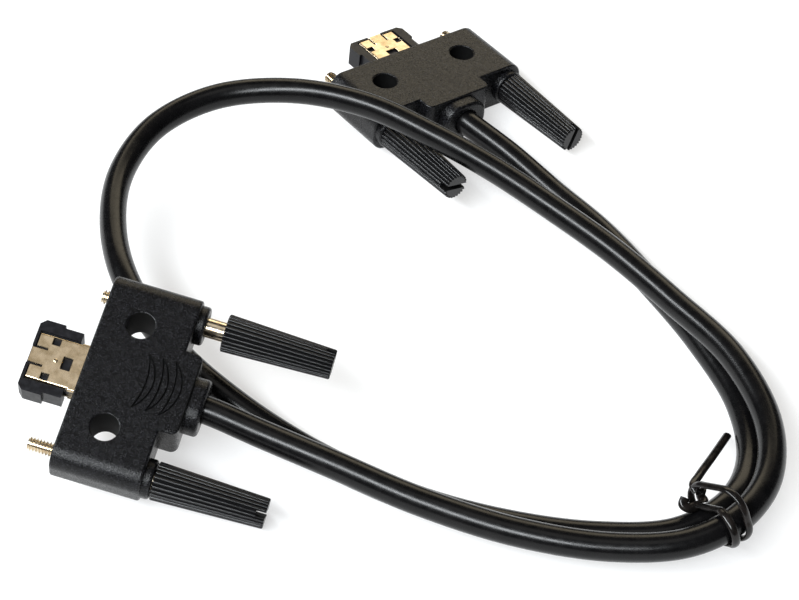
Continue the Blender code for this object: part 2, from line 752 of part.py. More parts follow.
def tie_turn(outer_offset, inner_offset, slack):
    """One turn of the tie: it lies on two circles about the runs, and slants along them."""
    outer = Vector(TIE_OUTER_RUN)
    inner = Vector(TIE_INNER_RUN)
    across = (outer - inner).normalized()
    along = Vector(TIE_ALONG)
    along = (along - across * along.dot(across)).normalized()
    up = across.cross(along)
    reach = CABLE_DIAMETER / 2 + FIT + TIE_DIAMETER / 2
    steps = 10
    points = []
    for middle, start in ((outer, -90), (inner, 90)):
        for i in range(steps + 1):
            angle = math.radians(start + 180 * i / steps)
            away = reach + slack * max(0.0, math.sin(angle)) ** 2
            slant = (outer_offset + inner_offset) / 2
            slant += (outer_offset - inner_offset) / 2 * math.cos(angle)
            points.append(middle + (across * math.cos(angle) + up * math.sin(angle)) * away + along * slant)
    return tube(points, TIE_DIAMETER / 2, 8, closed=True)


def twist_tie():
    turns = [tie_turn(*amounts) for amounts in TIE_TURNS]
    twist = tube(evenly([Vector(TIE_TWIST_FOOT), Vector(TIE_TWIST_HEAD)], 3), TIE_TWIST_DIAMETER / 2, 10)
    tail = tube(smooth_curve([TIE_TWIST_HEAD, *TIE_TAIL], 3), TIE_DIAMETER / 2, 8)
    stub = tube(smooth_curve([TIE_TWIST_HEAD, *TIE_STUB], 3), TIE_DIAMETER / 2, 8)
    return smooth(joined(*turns, twist, tail, stub), 50.0)


def main():
    for obj in list(bpy.data.objects):
        bpy.data.objects.remove(obj)
    materials = {name: make_material(name) for name in COLOURS}
    makers = (
        overmould,
        inner_mould,
        wire_pair,
        crimp_ferrule,
        shell,
        insulator,
        contact,
        screw,
        knob,
        clip,
    )
    meshes = {maker.__name__: maker() for maker in makers}
    for prefix in PLACES:
        build_connector(prefix, meshes, materials)
    place("cable_jacket", cable_jacket(), materials["cable_black"])
    place("twist_tie", twist_tie(), materials["tie_black"])


main()
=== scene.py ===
import json
import math

import bmesh
import bpy
from mathutils import Matrix, Vector


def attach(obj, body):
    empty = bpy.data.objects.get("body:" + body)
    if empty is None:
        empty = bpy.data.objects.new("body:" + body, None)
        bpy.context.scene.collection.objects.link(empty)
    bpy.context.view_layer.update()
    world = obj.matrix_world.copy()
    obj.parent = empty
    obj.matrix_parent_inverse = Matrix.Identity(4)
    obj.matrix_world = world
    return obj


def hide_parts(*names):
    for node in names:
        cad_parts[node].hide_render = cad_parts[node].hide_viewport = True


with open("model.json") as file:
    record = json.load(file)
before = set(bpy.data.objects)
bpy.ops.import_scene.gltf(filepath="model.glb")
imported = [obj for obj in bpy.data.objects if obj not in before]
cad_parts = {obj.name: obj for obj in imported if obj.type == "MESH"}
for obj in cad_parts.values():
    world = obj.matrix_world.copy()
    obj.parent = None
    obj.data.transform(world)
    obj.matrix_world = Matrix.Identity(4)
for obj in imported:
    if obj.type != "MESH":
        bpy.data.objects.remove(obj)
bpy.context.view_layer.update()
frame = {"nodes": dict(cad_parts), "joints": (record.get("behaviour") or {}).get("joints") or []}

scene = bpy.context.scene

# Shapes are written in millimetres, as in the part's source, and become metres in their meshes
MM = 0.001


# Camera, at the photograph's angle, with its place in metres

CAMERA_PLACE = (0.0164, -0.3417, 0.32628)
CAMERA_RIGHT = (0.99958, 0.02044, 0.02077)
CAMERA_UP = (-0.02914, 0.70110, 0.71250)
CAMERA_LENS = 99.87
CAMERA_SENSOR = 36.0
CAMERA_NEAREST = 0.02
CAMERA_FARTHEST = 10.0

right = Vector(CAMERA_RIGHT)
up = Vector(CAMERA_UP)
back = right.cross(up)
camera_data = bpy.data.cameras.new("camera")
camera_data.sensor_width = CAMERA_SENSOR
camera_data.lens = CAMERA_LENS
camera_data.clip_start = CAMERA_NEAREST
camera_data.clip_end = CAMERA_FARTHEST
camera = bpy.data.objects.new("camera", camera_data)
scene.collection.objects.link(camera)
turn = Matrix((right, up, back)).transposed().to_4x4()
camera.matrix_world = Matrix.Translation(CAMERA_PLACE) @ turn
scene.camera = camera


# Sizes that several pieces share, with the values of the part's source

# Along each connector X runs from the cable to the plug
FIT = 0.3
FINE_FIT = 0.15
HOUSING_FRONT = 7.9
HOUSING_LENGTH = 17.8
BOSS_LENGTH = 1.7
BOSS_WALL = 2.4
SCREW_PITCH = 33.3
SCREW_TRAVEL = 4.4
SHAFT_DIAMETER = 4.0
SHAFT_IN_KNOB = 13.7
THREAD_DIAMETER = 2.84
COLLAR_LENGTH = 0.5
CLIP_OUTER = 5.6
CLIP_NECK = 3.2
CLIP_THICKNESS = 0.8
KNOB_STANDOFF = 0.2
PLUG_THICKNESS = 4.6
SHELL_NECK_HALF_WIDTH = 5.15
INNER_MOULD_REAR = -7.6
INNER_MOULD_LENGTH = 6.4
CABLE_START = -11.0
CABLE_DIAMETER = 5.6

PLUG_TOP = PLUG_THICKNESS / 2
HOUSING_REAR = HOUSING_FRONT - HOUSING_LENGTH
BOSS_REAR = HOUSING_REAR - BOSS_LENGTH
CHAMBER_REAR = BOSS_REAR + BOSS_WALL
CHAMBER_LENGTH = SCREW_TRAVEL + CLIP_THICKNESS + FINE_FIT + COLLAR_LENGTH + 2 * FIT
CHAMBER_FRONT = CHAMBER_REAR + CHAMBER_LENGTH
CLIP_REAR = CHAMBER_REAR + FIT + SCREW_TRAVEL
KNOB_FRONT = BOSS_REAR - KNOB_STANDOFF
MOULD_FRONT = INNER_MOULD_REAR + INNER_MOULD_LENGTH
SHELL_REAR = MOULD_FRONT + FIT


# Where the connectors are, from the axes of their screws

JOINTS = {joint["name"]: joint for joint in frame["joints"]}


def connector_matrix(prefix):
    """A connector's own frame, in metres: its origin is midway between the two through holes."""
    left = JOINTS[f"{prefix}_left_turn"]
    x = Vector(left["axis"]).normalized()
    place = Vector(left["pos_m"])
    across = place - Vector(JOINTS[f"{prefix}_right_turn"]["pos_m"])
    y = (across - x * across.dot(x)).normalized()
    z = x.cross(y)
    origin = place - x * KNOB_FRONT * MM - y * SCREW_PITCH / 2 * MM
    return Matrix.Translation(origin) @ Matrix((x, y, z)).transposed().to_4x4()


ENDS = {prefix: connector_matrix(prefix) for prefix in ("end_a", "end_b")}


def screw_matrix(prefix, side):
    """A screw's own frame, in metres: its origin is the middle of its knob's front face."""
    place = Vector(JOINTS[f"{prefix}_{side}_turn"]["pos_m"])
    return Matrix.Translation(place) @ ENDS[prefix].to_3x3().to_4x4()


# Curves


def smooth_curve(points, per_span):
    """Points on a centripetal Catmull-Rom curve through the given ones."""
    points = [Vector(point) for point in points]
    padded = [2 * points[0] - points[1], *points, 2 * points[-1] - points[-2]]
    found = []
    for p0, p1, p2, p3 in zip(padded, padded[1:], padded[2:], padded[3:]):
        t1 = math.sqrt((p1 - p0).length)
        t2 = t1 + math.sqrt((p2 - p1).length)
        t3 = t2 + math.sqrt((p3 - p2).length)
        for i in range(per_span):
            t = t1 + (t2 - t1) * i / per_span
            a1 = p0.lerp(p1, t / t1)
            a2 = p1.lerp(p2, (t - t1) / (t2 - t1))
            a3 = p2.lerp(p3, (t - t2) / (t3 - t2))
            b1 = a1.lerp(a2, t / t2)
            b2 = a2.lerp(a3, (t - t1) / (t3 - t1))
            found.append(b1.lerp(b2, (t - t1) / (t2 - t1)))
    found.append(points[-1])
    return found


def evenly(points, count):
    """The given number of points, equally far apart along a path."""
    lengths = [0.0]
    for first, second in zip(points, points[1:]):
        lengths.append(lengths[-1] + (second - first).length)
    found = []
    span = 0
    for i in range(count):
        distance = lengths[-1] * i / (count - 1)
        while span < len(points) - 2 and lengths[span + 1] < distance:
            span += 1
        share = (distance - lengths[span]) / (lengths[span + 1] - lengths[span])
        found.append(points[span].lerp(points[span + 1], share))
    return found


# Outlines and meshes


def oval(half_width, half_height, count, middle=(0.0, 0.0)):
    """Points round an ellipse, going from the first axis to the second."""
    return [
        (
            middle[0] + half_width * math.cos(2 * math.pi * i / count),
            middle[1] + half_height * math.sin(2 * math.pi * i / count),
        )
        for i in range(count)
    ]


def rounded_rectangle(half_width, half_height, radius, steps):
    """A rectangle's outline with its corners as arcs of the given number of steps."""
    points = []
    for corner in range(4):
        sign_x = 1 if corner in (0, 3) else -1
        sign_y = 1 if corner in (0, 1) else -1
        middle = (sign_x * (half_width - radius), sign_y * (half_height - radius))
        for i in range(steps + 1):
            angle = math.radians(90 * (corner + i / steps))
            points.append((middle[0] + radius * math.cos(angle), middle[1] + radius * math.sin(angle)))
    return points


def loft(rings, closed=False):
    """A body through rings of equally many points, with flat ends unless it closes on itself."""
    bm = bmesh.new()
    rows = [[bm.verts.new(Vector(point) * MM) for point in ring] for ring in rings]
    pairs = list(zip(rows, rows[1:]))
    if closed:
        pairs.append((rows[-1], rows[0]))
    for first, second in pairs:
        for i in range(len(first)):
            j = (i + 1) % len(first)
            bm.faces.new((first[i], first[j], second[j], second[i]))
    if not closed:
        bm.faces.new(rows[0])
        bm.faces.new(rows[-1])
    bmesh.ops.recalc_face_normals(bm, faces=bm.faces)
    mesh = bpy.data.meshes.new("shape")
    bm.to_mesh(mesh)
    bm.free()
    return mesh


def block(x, y, z):
    """A box between two values on each axis."""
    corners = [(y[0], z[0]), (y[1], z[0]), (y[1], z[1]), (y[0], z[1])]
    return loft([[(place, *corner) for corner in corners] for place in x])


def turned(profile, count, middle=(0.0, 0.0)):
    """A round body along X, from (x, radius) pairs."""
    rings = []
    for x, radius in profile:
        rings.append([(x, y, z) for y, z in oval(radius, radius, count, middle)])
    return loft(rings)


def sweep(points, outline, side=None, twist=0.0, closed=False):
    """An outline carried along points; it turns by the given number of turns on its way."""
    points = [Vector(point) for point in points]
    total = len(points)
    rings = []
    for i, point in enumerate(points):
        before = points[i - 1] if i or closed else point
        after = points[(i + 1) % total] if i < total - 1 or closed else point
        along = (after - before).normalized()
        side = along.orthogonal() if side is None else Vector(side)
        side = (side - along * side.dot(along)).normalized()
        other = along.cross(side)
        angle = 2 * math.pi * twist * i / (total - 1)
        first = side * math.cos(angle) + other * math.sin(angle)
        second = other * math.cos(angle) - side * math.sin(angle)
        rings.append([point + first * a + second * b for a, b in outline])
    return loft(rings, closed)


def combined(mesh, operation, tools):
    """The mesh after a Boolean with each of the tools in turn, all in the same frame."""
    for tool in tools:
        target = bpy.data.objects.new("target", mesh)
        cutter = bpy.data.objects.new("cutter", tool)
        for obj in (target, cutter):
            scene.collection.objects.link(obj)
        modifier = target.modifiers.new("cut", "BOOLEAN")
        modifier.operation = operation
        modifier.solver = "EXACT"
        modifier.object = cutter
        graph = bpy.context.evaluated_depsgraph_get()
        mesh = bpy.data.meshes.new_from_object(target.evaluated_get(graph))
        bpy.data.objects.remove(target)
        bpy.data.objects.remove(cutter)
    return mesh


def joined(mesh, *tools):
    return combined(mesh, "UNION", tools)


def cut(mesh, *tools):
    return combined(mesh, "DIFFERENCE", tools)


def merged(*meshes):
    """Several bodies in one mesh."""
    bm = bmesh.new()
    for mesh in meshes:
        bm.from_mesh(mesh)
    mesh = bpy.data.meshes.new("shape")
    bm.to_mesh(mesh)
    bm.free()
    return mesh


def show(name, mesh, matrix, material, body, node, sharp_angle):
    """Adds a piece in the stead of a CAD node, on its body, with edges over an angle kept sharp."""
    mesh = mesh.copy()
    mesh.transform(matrix)
    mesh.shade_smooth()
    mesh.set_sharp_from_angle(angle=math.radians(sharp_angle))
    obj = bpy.data.objects.new(name, mesh)
    scene.collection.objects.link(obj)
    weighted = obj.modifiers.new("normals", "WEIGHTED_NORMAL")
    weighted.keep_sharp = True
    mesh.materials.clear()
    mesh.materials.append(MATERIALS[material])
    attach(obj, body)
    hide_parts(node)
    return obj


def paint_recess_shade(piece, faces):
    """Gives the numbered faces of a piece painted shade: a darker, duller material that stands in for
    the shade in a recess.
    """
    piece.data.materials.append(MATERIALS["recess_painted_shade"])
    for index in faces:
        piece.data.polygons[index].material_index = 1


# Cable: the same route as the CAD solid's

CABLE_STRAIGHT = (2.5, 6.0)
CABLE_POINT_COUNT = 420
CABLE_SIDES = 40
CABLE_ROUTE = [
    (-9.3, -57.2, 9.2), (4.5, -63.3, 8.1), (21.2, -71.5, 7.6), (39.4, -77.6, 6.8),
    (57.0, -80.2, 6.4), (70.9, -79.4, 7.2), (80.4, -74.4, 8.2), (87.2, -64.3, 8.3),
    (88.8, -49.7, 8.4), (83.2, -32.8, 9.2), (72.3, -17.0, 8.8), (60.4, -3.3, 9.8),
    (48.0, 7.7, 11.4), (35.6, 17.1, 13.5), (22.6, 25.3, 15.4), (8.1, 33.4, 16.6),
    (-8.6, 38.9, 15.6), (-25.1, 37.7, 14.3), (-37.3, 28.9, 13.3), (-43.6, 13.9, 12.7),
    (-43.4, -4.7, 12.9), (-37.8, -22.7, 12.8), (-27.6, -36.3, 9.4), (-15.6, -45.5, 5.3),
    (-3.3, -53.8, 3.2), (8.9, -61.3, 2.9), (22.3, -67.8, 2.9), (37.9, -72.5, 2.9),
    (54.6, -74.9, 3.1), (69.6, -74.1, 3.9), (79.9, -67.6, 4.7), (85.4, -55.5, 3.3),
    (84.8, -39.9, 2.9), (78.1, -22.5, 2.9), (69.0, -5.8, 2.9), (59.5, 9.3, 3.1),
    (49.1, 21.2, 3.9), (39.7, 31.4, 5.5),
]


def cable_in_end(prefix):
    """Where the cable starts in a connector, and two places straight behind that."""
    places = [Vector(((CABLE_START - step) * MM, 0.0, 0.0)) for step in (0.0, *CABLE_STRAIGHT)]
    return [(ENDS[prefix] @ place) / MM for place in places]


def cable_path():
    route = [*cable_in_end("end_a"), *CABLE_ROUTE, *reversed(cable_in_end("end_b"))]
    return evenly(smooth_curve(route, per_span=24), CABLE_POINT_COUNT)


cable_points = cable_path()
cable_mesh = sweep(cable_points, oval(CABLE_DIAMETER / 2, CABLE_DIAMETER / 2, CABLE_SIDES))


# Materials, with sizes in metres

# Nearly all of a noise lies between these two values
NOISE_LOW = 0.3
NOISE_HIGH = 0.7


class Material:
    """A node material built up call by call, with its noise laid out in each mesh's own space."""

    def __init__(self, name, colour, roughness, metallic=0.0, specular=0.5):
        self.material = bpy.data.materials.new(name)
        self.material.use_nodes = True
        self.material.diffuse_color = (*colour, 1.0)
        self.tree = self.material.node_tree
        self.shader = self.tree.nodes["Principled BSDF"]
        self.set("Base Color", (*colour, 1.0))
        self.set("Roughness", roughness)
        self.set("Metallic", metallic)
        self.set("Specular IOR Level", specular)
        self.coordinates = self.node("ShaderNodeTexCoord").outputs["Object"]

    def set(self, socket, value):
        self.shader.inputs[socket].default_value = value

    def link(self, output, socket):
        self.tree.links.new(output, socket)

    def node(self, kind):
        return self.tree.nodes.new(kind)

    def noise(self, size, detail=2.0, rough=0.5):
        """Noise whose features are about the given size in metres."""
        made = self.node("ShaderNodeTexNoise")
        made.inputs["Scale"].default_value = 1.0 / size
        made.inputs["Detail"].default_value = detail
        made.inputs["Roughness"].default_value = rough
        self.link(self.coordinates, made.inputs["Vector"])
        return made.outputs["Fac"]

    def ramp(self, source, stops):
        """A colour ramp, where each stop is a place and a colour."""
        made = self.node("ShaderNodeValToRGB")
        elements = made.color_ramp.elements
        while len(elements) < len(stops):
            elements.new(0.5)
        for element, (place, colour) in zip(elements, stops):
            element.position = place
            element.color = (*colour, 1.0)
        self.link(source, made.inputs["Fac"])
        return made.outputs["Color"]

    def paint(self, source, stops):
        """Colours the surface by a ramp over noise."""
        self.link(self.ramp(source, stops), self.shader.inputs["Base Color"])

    def haze(self, source, dark, light):
        """Colours the surface from dark to light as noise goes from low to high."""
        self.paint(source, [(NOISE_LOW, dark), (NOISE_HIGH, light)])

    def rough(self, source, low, high):
        """Spreads the roughness between two values as noise goes from low to high."""
        made = self.node("ShaderNodeMapRange")
        for name, value in (
            ("From Min", NOISE_LOW),
            ("From Max", NOISE_HIGH),
            ("To Min", low),
            ("To Max", high),
        ):
            made.inputs[name].default_value = value
        self.link(source, made.inputs["Value"])
        self.link(made.outputs["Result"], self.shader.inputs["Roughness"])

    def bump(self, height, distance, strength):
        made = self.node("ShaderNodeBump")
        made.inputs["Strength"].default_value = strength
        made.inputs["Distance"].default_value = distance
        self.link(height, made.inputs["Height"])
        self.link(made.outputs["Normal"], self.shader.inputs["Normal"])


def moulded_black():
    """Spark-eroded plastic: a fine grain whose bumps come from the same noise that colours it, painted
    darker in its hollows as painted shade and lighter at its high spots as painted glints.
    """
    made = Material("moulded_black", (0.004, 0.004, 0.005), 0.28, specular=0.24)
    grain = made.noise(size=0.00020)
    # Painted shade in the grain's low places, plain tone between, painted glints at its high spots
    hollows = (0.44, (0.0008, 0.0008, 0.0010))
    between = (0.54, (0.0018, 0.0018, 0.0021))
    tips = (0.68, (0.022, 0.022, 0.026))
    made.paint(grain, [hollows, between, tips])
    made.rough(made.noise(size=0.0011), 0.20, 0.32)
    made.bump(grain, distance=0.00008, strength=1.0)
    return made.material


def recess_painted_shade():
    """Painted shade for the inside of a hole, a moulded line or a knob's groove: darker and duller
    than the plastic about it, with faint clouds.
    """
    made = Material("recess_painted_shade", (0.002, 0.002, 0.002), 0.7, specular=0.1)
    made.haze(made.noise(size=0.0008), (0.0012, 0.0012, 0.0012), (0.003, 0.003, 0.003))
    return made.material


def knob_black():
    made = Material("knob_black", (0.004, 0.004, 0.005), 0.22, specular=0.40)
    cloud = made.noise(size=0.0012, detail=3.0)
    made.haze(cloud, (0.0015, 0.0015, 0.002), (0.006, 0.006, 0.007))
    made.rough(cloud, 0.17, 0.27)
    made.bump(made.noise(size=0.0006), distance=0.00001, strength=0.4)
    return made.material


def cable_black():
    """A glossy extruded jacket, slightly uneven along its length."""
    made = Material("cable_black", (0.003, 0.003, 0.0034), 0.26, specular=0.26)
    cloud = made.noise(size=0.004, detail=3.0)
    made.haze(cloud, (0.0010, 0.0010, 0.0012), (0.0030, 0.0028, 0.0030))
    made.rough(made.noise(size=0.0016, detail=3.0), 0.22, 0.30)
    made.bump(made.noise(size=0.0035), distance=0.00004, strength=0.3)
    return made.material


def tie_black():
    made = Material("tie_black", (0.005, 0.004, 0.004), 0.2, specular=0.3)
    cloud = made.noise(size=0.0015)
    made.haze(cloud, (0.002, 0.002, 0.002), (0.009, 0.007, 0.006))
    made.rough(cloud, 0.14, 0.26)
    made.bump(made.noise(size=0.0012), distance=0.00003, strength=0.4)
    return made.material


def insulator_black():
    made = Material("insulator_black", (0.005, 0.005, 0.006), 0.36, specular=0.2)
    cloud = made.noise(size=0.0009, detail=3.0)
    made.haze(cloud, (0.003, 0.003, 0.004), (0.009, 0.009, 0.011))
    made.rough(cloud, 0.3, 0.46)
    made.bump(made.noise(size=0.00025), distance=0.00001, strength=0.5)
    return made.material


def metal(name, colour, dark, roughness, size, waves):
    """Plated metal: clouded colour, fine uneven polish and faint waves."""
    made = Material(name, colour, roughness, metallic=1.0)
    made.paint(made.noise(size, detail=4.0, rough=0.6), [(0.32, dark), (0.62, colour)])
    made.rough(made.noise(size / 3, detail=3.0), roughness * 0.75, roughness * 1.3)
    made.bump(made.noise(size / 2), distance=waves, strength=0.5)
    return made.material


def plain(name, colour, dark, roughness):
    """Clouded plastic for pieces inside the housings."""
    made = Material(name, colour, roughness)
    cloud = made.noise(size=0.0015, detail=3.0)
    made.haze(cloud, dark, colour)
    made.rough(cloud, roughness - 0.06, roughness + 0.06)
    return made.material


MATERIALS = {
    "moulded_black": moulded_black(),
    "recess_painted_shade": recess_painted_shade(),
    "knob_black": knob_black(),
    "cable_black": cable_black(),
    "tie_black": tie_black(),
    "insulator_black": insulator_black(),
}

# Each metal: colour, darker clouds, roughness, size of the clouds and height of the waves
METALS = {
    "shell_nickel": ((0.66, 0.54, 0.38), (0.40, 0.31, 0.19), 0.24, 0.0024, 0.00004),
    "screw_nickel": ((0.82, 0.73, 0.57), (0.58, 0.47, 0.33), 0.20, 0.0022, 0.000004),
    "contact_gold": ((0.85, 0.62, 0.28), (0.75, 0.50, 0.20), 0.24, 0.0008, 0.000005),
    "spring_steel": ((0.58, 0.58, 0.58), (0.45, 0.45, 0.46), 0.30, 0.0008, 0.00001),
    "crimp_metal": ((0.62, 0.62, 0.64), (0.50, 0.50, 0.52), 0.34, 0.0008, 0.00001),
}

# Each plastic inside the housings: colour, darker clouds and roughness
PLASTICS = {
    "wire_blue": ((0.05, 0.13, 0.50), (0.04, 0.10, 0.40), 0.45),
    "inner_white": ((0.76, 0.75, 0.71), (0.68, 0.67, 0.63), 0.45),
}

for name, look in METALS.items():
    MATERIALS[name] = metal(name, *look)
for name, look in PLASTICS.items():
    MATERIALS[name] = plain(name, *look)

for node in frame["nodes"].values():
    for material_slot in node.material_slots:
        name = material_slot.material.name.split(".")[0]
        if name in MATERIALS:
            material_slot.material = MATERIALS[name]

cable = show("cable", cable_mesh, Matrix(), "cable_black", "cable", "cable_jacket", 35.0)


# Overmould, finer than the CAD solid and in the same place

HOUSING_THICKNESS = 10.1
HOUSING_SIDE_RADIUS = 3.6
HOUSING_EDGE_RADIUS = 0.5
SCREW_TO_SIDE = 4.15
HOLE_PITCH = 22.0
HOLE_DIAMETER = 5.6
HOLE_EDGE = 0.22
SHOULDER_LENGTH = 3.6
SHOULDER_WIDTH = 17.2
SHOULDER_CORNER = 1.5
SHOULDER_EDGE = 0.35
RELIEF_LENGTH = 2.9
RELIEF_WIDTH = 11.2
RELIEF_THICKNESS = 9.0
RELIEF_CORNER = 4.0
RELIEF_EDGE = 0.8
CRESCENT_COUNT = 3
CRESCENT_PITCH = 2.7
CRESCENT_FIRST_TIP = -3.5
CRESCENT_HALF_SPAN = 5.7
CRESCENT_RISES = (2.5, 1.1)
GROOVE_WIDTH = 0.34
GROOVE_DEPTH = 0.3
BOSS_DIAMETER = 7.8
BOSS_EDGE = 0.6
BORE_FLARE = 0.5
BORE_FLARE_DEPTH = 0.2
INNER_MOULD_WIDTH = 12.4
INNER_MOULD_THICKNESS = 6.0
FERRULE_LENGTH = 4.0
FERRULE_WALL = 0.5
FERRULE_SETBACK = 0.2
WIRE_PAIR_WIDTH = 2.4
WIRE_PAIR_THICKNESS = 1.2

# Where a recess's faces are looked for: how far past a groove's floor, how far below the
# housing's top and how far past a hole's wall
GROOVE_FLOOR_MARGIN = 0.05
TOP_MARGIN = 0.01
HOLE_WALL_MARGIN = 0.02

HOUSING_HALF_WIDTH = SCREW_PITCH / 2 + SCREW_TO_SIDE
HOUSING_TOP = HOUSING_THICKNESS / 2
SHOULDER_REAR = HOUSING_REAR - SHOULDER_LENGTH
RELIEF_REAR = SHOULDER_REAR - RELIEF_LENGTH
FERRULE_REAR = CABLE_START - FERRULE_SETBACK - FERRULE_LENGTH
FERRULE_RADIUS = CABLE_DIAMETER / 2 + FIT + FERRULE_WALL


def rounding(radius, steps):
    """Along a rounded edge: how far each step lies in from the end, and how much it shrinks."""
    angles = [math.pi / 2 * i / steps for i in range(steps + 1)]
    return [(radius * (1 - math.cos(angle)), radius * (1 - math.sin(angle))) for angle in angles]


def housing():
    """The flat block with rounded long sides."""
    rings = []
    for end, inward in ((HOUSING_REAR, 1), (HOUSING_FRONT, -1)):
        edge = []
        for depth, shrink in rounding(HOUSING_EDGE_RADIUS, steps=5):
            outline = rounded_rectangle(
                HOUSING_HALF_WIDTH - shrink,
                HOUSING_TOP - shrink,
                HOUSING_SIDE_RADIUS - shrink,
                steps=14,
            )
            edge.append([(end + inward * depth, y, z) for y, z in outline])
        rings += edge if inward == 1 else edge[::-1]
    return loft(rings)


def shoulder():
    """The wider step of the relief, flush with the housing's faces."""
    length = 2 * SHOULDER_LENGTH
    middle = SHOULDER_REAR + length / 2
    rings = []
    for end, inward in ((-HOUSING_TOP, 1), (HOUSING_TOP, -1)):
        edge = []
        for depth, shrink in rounding(SHOULDER_EDGE, steps=4):
            outline = rounded_rectangle(
                length / 2 - shrink,
                SHOULDER_WIDTH / 2 - shrink,
                SHOULDER_CORNER - shrink,
                steps=8,
            )
            edge.append([(middle + x, y, end + inward * depth) for x, y in outline])
        rings += edge if inward == 1 else edge[::-1]
    return loft(rings)


def relief():
    """The narrower step that the cable leaves by."""
    rings = []
    for depth, shrink in rounding(RELIEF_EDGE, steps=6):
        outline = rounded_rectangle(
            RELIEF_WIDTH / 2 - shrink,
            RELIEF_THICKNESS / 2 - shrink,
            RELIEF_CORNER - shrink,
            steps=12,
        )
        rings.append([(RELIEF_REAR + depth, y, z) for y, z in outline])
    rings.append([(SHOULDER_REAR + SHOULDER_LENGTH / 2, y, z) for _, y, z in rings[-1]])
    return loft(rings)


def boss(side):
    """The round step behind the housing that a screw comes out of."""
    radius = BOSS_DIAMETER / 2
    profile = [(BOSS_REAR + depth, radius - shrink) for depth, shrink in rounding(BOSS_EDGE, steps=5)]
    profile.append((HOUSING_REAR + 3 * HOUSING_EDGE_RADIUS, radius))
    return turned(profile, count=56, middle=(side * SCREW_PITCH / 2, 0.0))


def through_hole(side):
    """A cutter that widens at both faces, which leaves the hole's edges rounded."""
    widest = HOLE_DIAMETER / 2 + HOLE_EDGE
    profile = []
    for end, inward in ((-HOUSING_TOP, 1), (HOUSING_TOP, -1)):
        edge = [(end - inward * FIT, widest)]
        for depth, shrink in rounding(HOLE_EDGE, steps=4):
            edge.append((end + inward * (HOLE_EDGE - shrink), widest - depth))
        profile += edge if inward == 1 else edge[::-1]
    middle = (0.0, side * HOLE_PITCH / 2)
    rings = []
    for z, radius in profile:
        rings.append([(x, y, z) for x, y in oval(radius, radius, count=56, middle=middle)])
    return loft(rings)


def crescent_line(tip, rise):
    """A cutter along an arc through two tips that bulges away from the plug."""
    radius = (CRESCENT_HALF_SPAN**2 + rise**2) / (2 * rise)
    middle = tip - rise + radius
    reach = math.asin(CRESCENT_HALF_SPAN / radius)
    steps = 36
    angles = [math.pi - reach + 2 * reach * i / steps for i in range(steps + 1)]
    points = [(middle + radius * math.cos(a), radius * math.sin(a), HOUSING_TOP) for a in angles]
    return sweep(points, oval(GROOVE_WIDTH / 2, GROOVE_DEPTH, count=12), side=(1.0, 0.0, 0.0))


def plug_and_cable_ways():
    """Cutters for what the housing holds between the plug and the cable."""
    mould_y = INNER_MOULD_WIDTH / 2 + FIT
    mould_z = INNER_MOULD_THICKNESS / 2 + FIT
    cavity = block((INNER_MOULD_REAR - FIT, SHELL_REAR), (-mould_y, mould_y), (-mould_z, mould_z))
    plug_y = SHELL_NECK_HALF_WIDTH + FIT
    plug_z = PLUG_TOP + FIT
    plug_way = block((MOULD_FRONT, HOUSING_FRONT + FIT), (-plug_y, plug_y), (-plug_z, plug_z))
    wire_y = WIRE_PAIR_WIDTH / 2 + FIT
    wire_z = WIRE_PAIR_THICKNESS + 1.5 * FIT
    wire_way = block((CABLE_START - FIT, INNER_MOULD_REAR), (-wire_y, wire_y), (-wire_z, wire_z))
    crimp = FERRULE_RADIUS + FIT
    crimp_way = turned(((FERRULE_REAR - FIT, crimp), (CABLE_START + FIT, crimp)), count=40)
    jacket = CABLE_DIAMETER / 2 + FIT
    mouth = turned(((RELIEF_REAR - FIT, jacket), (FERRULE_REAR, jacket)), count=40)
    return cavity, plug_way, wire_way, crimp_way, mouth


def screw_bores(side):
    """Cutters for the stepped way of one screw, flared at the boss and at the front face."""
    shaft = SHAFT_DIAMETER / 2 + FIT
    chamber = CLIP_OUTER / 2 + FIT
    thread = THREAD_DIAMETER / 2 + FIT
    profiles = (
        (
            (BOSS_REAR - FIT, shaft + BORE_FLARE),
            (BOSS_REAR + BORE_FLARE_DEPTH, shaft),
            (CHAMBER_REAR + FIT, shaft),
        ),
        (
            (CHAMBER_REAR, chamber),
            (CHAMBER_FRONT, chamber),
        ),
        (
            (CHAMBER_FRONT - FIT, thread),
            (HOUSING_FRONT - BORE_FLARE_DEPTH, thread),
            (HOUSING_FRONT + FIT, thread + BORE_FLARE),
        ),
    )
    middle = (side * SCREW_PITCH / 2, 0.0)
    return [turned(profile, count=32, middle=middle) for profile in profiles]


def overmould():
    mesh = joined(housing(), shoulder(), relief(), boss(1), boss(-1))
    mesh = cut(mesh, through_hole(1), through_hole(-1), *plug_and_cable_ways())
    for side in (-1, 1):
        mesh = cut(mesh, *screw_bores(side))
    for i in range(CRESCENT_COUNT):
        tip = CRESCENT_FIRST_TIP - i * CRESCENT_PITCH
        mesh = cut(mesh, *(crescent_line(tip, rise) for rise in CRESCENT_RISES))
    return mesh


def in_a_recess(face):
    """Whether a face lies in a crescent line, or in a through hole below its rounded edge."""
    x, y, z = face.center / MM
    rearmost = CRESCENT_FIRST_TIP - CRESCENT_COUNT * CRESCENT_PITCH - max(CRESCENT_RISES)
    in_a_line = (
        HOUSING_TOP - GROOVE_DEPTH - GROOVE_FLOOR_MARGIN < z < HOUSING_TOP - TOP_MARGIN
        and abs(y) < CRESCENT_HALF_SPAN + GROOVE_WIDTH
        and rearmost < x < CRESCENT_FIRST_TIP + GROOVE_WIDTH
    )
    from_hole = math.hypot(x, abs(y) - HOLE_PITCH / 2)
    in_the_bore = from_hole < HOLE_DIAMETER / 2 + HOLE_WALL_MARGIN
    return in_a_line or (in_the_bore and abs(z) < HOUSING_TOP - HOLE_EDGE)


overmould_mesh = overmould()
